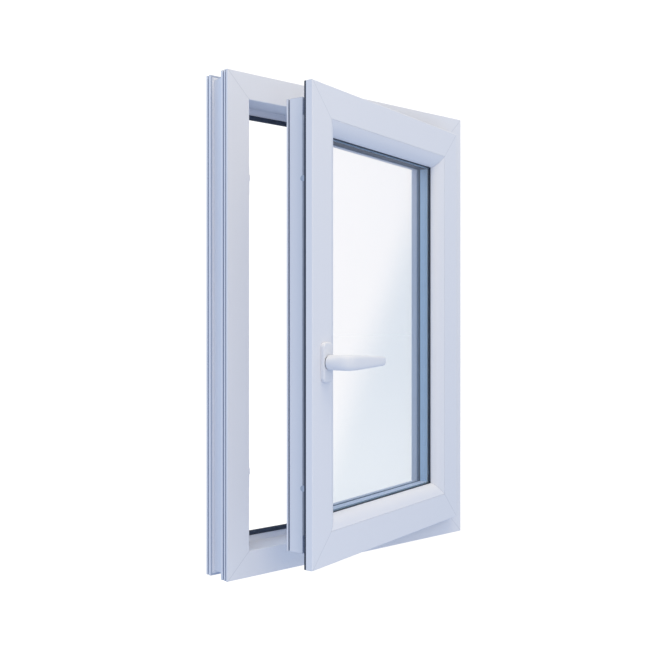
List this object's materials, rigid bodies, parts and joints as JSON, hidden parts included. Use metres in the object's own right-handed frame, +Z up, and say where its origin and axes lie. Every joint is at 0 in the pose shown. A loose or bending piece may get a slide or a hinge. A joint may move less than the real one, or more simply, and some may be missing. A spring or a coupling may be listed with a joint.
{
  "type": "casement window",
  "caption": "Inward-opening casement window: white hollow plastic frame and side-hung sash, double glazing, and a lever handle that drives a side lock.",
  "frame": {"origin": "middle of the width, on the underside of the sill's interior foot (the flat land that the frame stands on), 9 mm behind the room face", "axes": "+X to the right seen from the room, towards the hinges; +Y from the room to the outside; +Z up"},
  "size_m": [0.6, 0.2644, 0.875],
  "materials": {
    "white_pvc": "smooth white extruded PVC with a cool cast",
    "white_cap": "moulded white cap",
    "black_gasket": "dull black seal",
    "edge_sealant": "dark cured sealant",
    "galvanised_tube": "galvanised steel",
    "plated_steel": "zinc plated steel",
    "bright_steel": "bright zinc plated steel",
    "white_hinge_paint": "white powder coat",
    "white_handle_paint": "white powder coat, satin",
    "clear_glass": "clear float glass with a faint cool tint",
    "grey_spacer": "light blue-grey spacer bar",
    "blue_packer": "moulded plastic packer"
  },
  "bodies": {
    "frame": {"frame_head": "white_pvc", "frame_sill": "white_pvc", "frame_jamb_lock": "white_pvc", "frame_jamb_hinge": "white_pvc", "frame_reinforcement": "galvanised_tube", "frame_gasket": "black_gasket", "drain_caps": "white_cap", "keeps": "white_hinge_paint", "keep_screws": "bright_steel", "hinge_frame_leaves": "white_hinge_paint", "hinge_pins": "bright_steel", "hinge_frame_screws": "bright_steel"},
    "sash": {"sash_top_rail": "white_pvc", "sash_bottom_rail": "white_pvc", "sash_lock_stile": "white_pvc", "sash_hinge_stile": "white_pvc", "sash_reinforcement": "galvanised_tube", "sash_gasket": "black_gasket", "bead_top": "white_pvc", "bead_bottom": "white_pvc", "bead_left": "white_pvc", "bead_right": "white_pvc", "glazing_gasket_inner": "black_gasket", "glazing_gasket_outer": "black_gasket", "glass_inner": "clear_glass", "glass_outer": "clear_glass", "glass_spacer": "grey_spacer", "glass_edge_seal": "edge_sealant", "glazing_packers": "blue_packer", "lock_faceplate": "plated_steel", "faceplate_screws": "bright_steel", "gear_case": "plated_steel", "handle_base": "plated_steel", "handle_screws": "bright_steel", "rosette_cover": "white_handle_paint", "hinge_sash_leaves": "white_hinge_paint", "hinge_sash_screws": "bright_steel"},
    "handle": {"handle_lever": "white_handle_paint", "handle_spindle": "bright_steel", "drive_pinion": "bright_steel"},
    "lock_rod": {"drive_rod": "plated_steel", "lock_cams": "plated_steel"}
  },
  "joints": [
    {"name": "sash_swing", "type": "hinge", "parent": "frame", "child": "sash", "pos_m": [0.2675, -0.016, 0.4375], "axis": [0, 0, 1], "range_deg": [-15, 75]},
    {"name": "handle_turn", "type": "hinge", "parent": "sash", "child": "handle", "pos_m": [-0.20441, -0.15383, 0.376], "axis": [-0.2588, 0.9659, 0], "range_deg": [0, 90]},
    {"name": "rod_slide", "type": "slide", "parent": "sash", "child": "lock_rod", "axis": [0, 0, 1], "range_m": [0, 0.01483]}
  ],
  "couplings": [
    {"joint": "rod_slide", "follows": "handle_turn", "m_per_rad": 0.009375}
  ]
}
